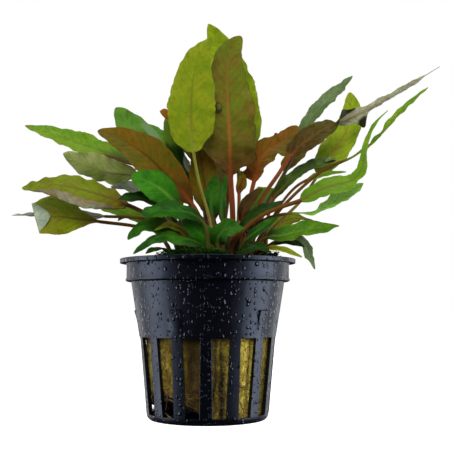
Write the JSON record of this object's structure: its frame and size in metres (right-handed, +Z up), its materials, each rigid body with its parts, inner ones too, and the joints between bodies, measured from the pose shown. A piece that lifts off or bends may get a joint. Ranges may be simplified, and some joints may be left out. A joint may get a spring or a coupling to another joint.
{
  "type": "potted cryptocoryne",
  "caption": "Aquarium plant of long ruffled leaves on thin stalks, rooted in a mineral wool plug in a slotted black net pot that stands free.",
  "frame": {"origin": "centre of the pot's base, where it stands on the table", "axes": "+Z up along the pot's axis, -Y towards the side that the picture shows, +X to the viewer's right"},
  "size_m": [0.1389, 0.092, 0.1314],
  "materials": {
    "pot_plastic": "near-black moulded plastic, glossy, wet with fine beads",
    "mineral_wool": "yellow-olive mineral wool fibre, damp, with dark creases",
    "moss": "dark green moss",
    "leaf_yellow_green": "yellow-green leaf, satin, fine veins, paler midrib and tan stalk",
    "leaf_olive_brown": "olive-brown ruffled leaf with a red-brown midrib and stalk",
    "leaf_blue_green": "blue-green leaf, satin",
    "leaf_brown": "brown leaf with a dark red midrib and stalk",
    "leaf_light_green": "light green leaf, satin, brown stalk",
    "leaf_grey_green": "grey-green leaf underside",
    "leaf_olive": "olive leaf with a brown stalk",
    "leaf_bright_green": "bright green young leaf",
    "leaf_dark_green": "dark green leaf in the shade",
    "leaf_green": "green leaf, satin",
    "leaf_tan": "tan wilting leaf"
  },
  "bodies": {
    "root": {"pot": "pot_plastic", "rockwool_plug": "mineral_wool", "moss_front": "moss", "moss_right": "moss", "leaf_tall_left": "leaf_yellow_green", "leaf_tall_centre": "leaf_olive_brown", "leaf_tall_back": "leaf_yellow_green", "leaf_back_left_upper": "leaf_blue_green", "leaf_broad_brown_left": "leaf_brown", "leaf_long_upper_left": "leaf_light_green", "leaf_grey_green_left": "leaf_grey_green", "leaf_small_grey_left": "leaf_grey_green", "leaf_olive_left": "leaf_olive", "leaf_lower_left": "leaf_olive", "leaf_edge_on_left": "leaf_grey_green", "leaf_bright_left": "leaf_bright_green", "leaf_dark_left": "leaf_dark_green", "leaf_across_left": "leaf_bright_green", "leaf_low_left": "leaf_green", "leaf_small_low_left": "leaf_olive", "leaf_curved_left": "leaf_green", "leaf_rim_left": "leaf_bright_green", "leaf_green_front": "leaf_green", "leaf_upright_front": "leaf_green", "leaf_narrow_upright": "leaf_green", "leaf_short_right_front": "leaf_green", "leaf_tan_front": "leaf_tan", "leaf_dark_front": "leaf_dark_green", "leaf_brown_behind": "leaf_brown", "leaf_dark_behind": "leaf_dark_green", "leaf_small_brown": "leaf_brown", "leaf_rolled_tip": "leaf_brown", "leaf_brown_right": "leaf_brown", "leaf_long_upper_right": "leaf_brown", "leaf_grey_green_right": "leaf_grey_green", "leaf_bright_right": "leaf_bright_green", "leaf_small_olive_right": "leaf_olive", "leaf_curled_right": "leaf_light_green", "leaf_high_right": "leaf_green", "leaf_dark_folded_right": "leaf_dark_green", "leaf_light_green_right": "leaf_light_green", "leaf_low_right": "leaf_green", "leaf_dark_right": "leaf_dark_green", "leaf_brown_mid_right": "leaf_brown", "leaf_bluish_right": "leaf_blue_green", "leaf_low_olive_right": "leaf_olive", "leaf_low_dark_right": "leaf_dark_green", "leaf_hanging_right": "leaf_grey_green", "leaf_back_tall_left": "leaf_olive_brown", "leaf_back_tall_right": "leaf_light_green", "leaf_back_arching": "leaf_brown", "leaf_back_left_arching": "leaf_olive", "leaf_back_right_arching": "leaf_light_green", "leaf_back_left_low": "leaf_green", "leaf_back_far_left": "leaf_light_green", "leaf_back_low": "leaf_green", "leaf_back_right_low": "leaf_green", "leaf_back_far_right": "leaf_olive", "leaf_back_right_tall": "leaf_brown"}
  },
  "joints": []
}
